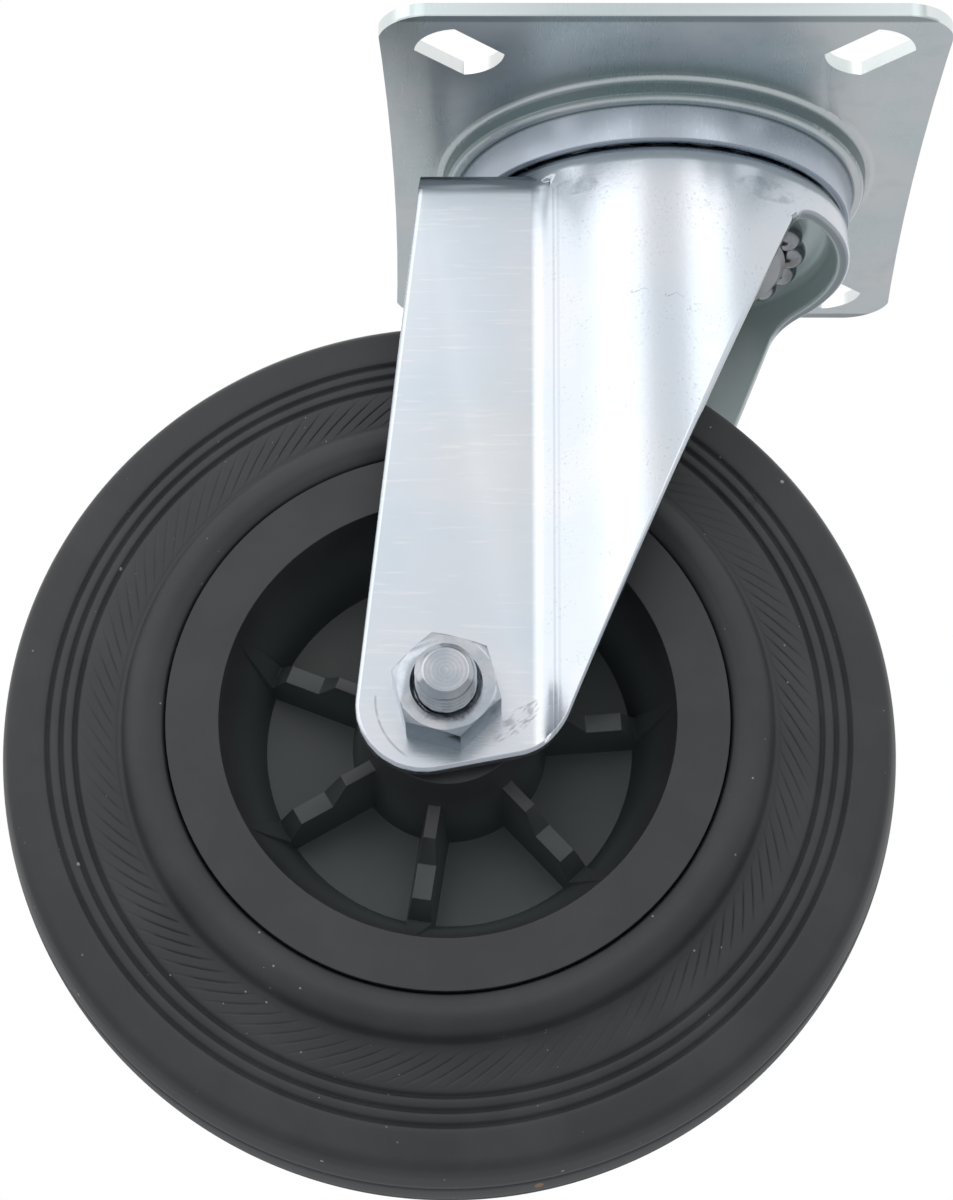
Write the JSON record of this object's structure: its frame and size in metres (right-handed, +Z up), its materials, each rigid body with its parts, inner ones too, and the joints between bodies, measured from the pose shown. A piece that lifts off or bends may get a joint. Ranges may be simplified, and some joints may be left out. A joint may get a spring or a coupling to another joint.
{
  "type": "swivel castor",
  "caption": "Swivel plate castor: pressed zinc-plated top plate with diagonal corner slots, ball-bearing fork head and a trailing black rubber-tyred wheel on a bolted roller-bearing axle.",
  "frame": {"origin": "centre of the plate's top face and of its slots, on the swivel axis", "axes": "+Z up along the swivel axis, out of the plate's top face; +Y along the axle towards the bolt head; the wheel trails towards -X"},
  "size_m": [0.1606, 0.1174, 0.188],
  "materials": {
    "zinc_sheet": "bright bluish zinc plating on pressed sheet",
    "zinc_fastener": "bright zinc plating",
    "bare_steel": "oiled steel",
    "ball_steel": "polished",
    "black_plastic": "satin moulded",
    "black_rubber": "satin rubber",
    "cage_plastic": "satin"
  },
  "bodies": {
    "plate": {"top_plate": "zinc_sheet", "king_pin": "bare_steel", "lower_race": "bare_steel"},
    "fork": {"fork": "zinc_sheet", "axle_bolt": "zinc_fastener", "axle_nut": "zinc_fastener", "axle_sleeve": "bare_steel", "thrust_washers": "bare_steel"},
    "wheel": {"rim": "black_plastic", "tyre": "black_rubber"},
    "upper_ball_ring": {"upper_balls": "ball_steel"},
    "lower_ball_ring": {"lower_balls": "ball_steel"},
    "roller_ring": {"roller_cage": "cage_plastic", "rollers": "ball_steel"}
  },
  "joints": [
    {"name": "swivel", "type": "hinge", "parent": "plate", "child": "fork", "pos_m": [0, 0, 0], "axis": [0, 0, 1], "continuous": true},
    {"name": "wheel_spin", "type": "hinge", "parent": "fork", "child": "wheel", "pos_m": [-0.0363, 0, -0.112], "axis": [0, 1, 0], "continuous": true},
    {"name": "upper_ball_orbit", "type": "hinge", "parent": "plate", "child": "upper_ball_ring", "pos_m": [0, 0, 0], "axis": [0, 0, 1], "continuous": true},
    {"name": "lower_ball_orbit", "type": "hinge", "parent": "plate", "child": "lower_ball_ring", "pos_m": [0, 0, 0], "axis": [0, 0, 1], "continuous": true},
    {"name": "roller_orbit", "type": "hinge", "parent": "fork", "child": "roller_ring", "pos_m": [-0.0363, 0, -0.112], "axis": [0, 1, 0], "continuous": true}
  ],
  "couplings": [
    {"joint": "upper_ball_orbit", "follows": "swivel", "ratio": 0.5},
    {"joint": "lower_ball_orbit", "follows": "swivel", "ratio": 0.5},
    {"joint": "roller_orbit", "follows": "wheel_spin", "ratio": 0.6062}
  ]
}
